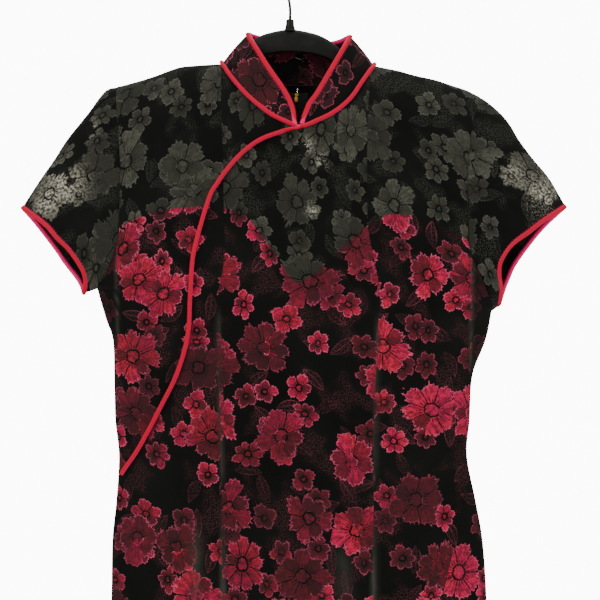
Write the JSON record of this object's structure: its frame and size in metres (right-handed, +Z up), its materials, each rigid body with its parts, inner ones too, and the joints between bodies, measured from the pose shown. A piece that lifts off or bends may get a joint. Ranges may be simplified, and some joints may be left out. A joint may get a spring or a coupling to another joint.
{
  "type": "midi dress on hanger",
  "caption": "Fitted black velvet midi dress with stand collar, bell sleeves and red satin piping, hanging on a plastic hanger with a wire hook.",
  "frame": {"origin": "inside of the crown of the hanger's hook, where a rail carries it", "axes": "+Z up along the hanging dress, -Y out of its front, +X to the right seen from the front"},
  "size_m": [0.5736, 0.0738, 1.1927],
  "materials": {
    "velvet": "burnt-out velvet with a flower pattern",
    "satin": "satin",
    "lining": "satin",
    "tape": "woven",
    "plastic": "semi gloss",
    "wire": "dark plated",
    "brass": "polished"
  },
  "bodies": {
    "dress": {"front": "velvet", "back_left": "velvet", "back_right": "velvet", "sleeve_left": "velvet", "sleeve_right": "velvet", "collar_left": "velvet", "collar_right": "velvet", "collar_binding_left": "satin", "collar_binding_right": "satin", "neck_piping_left": "satin", "opening_piping": "satin", "cuff_binding_left": "satin", "cuff_binding_right": "satin", "lining_front": "lining", "lining_back": "lining", "zip_tape": "tape", "zip_slider": "brass", "hanger_body": "plastic", "hanger_hook": "wire"},
    "pull_tab": {"zip_pull": "brass"}
  },
  "joints": [
    {"name": "pull_swing", "type": "hinge", "parent": "dress", "child": "pull_tab", "pos_m": [0.00644, 0.03217, -0.142], "axis": [1, 0, 0], "range_deg": [0, 150]}
  ]
}
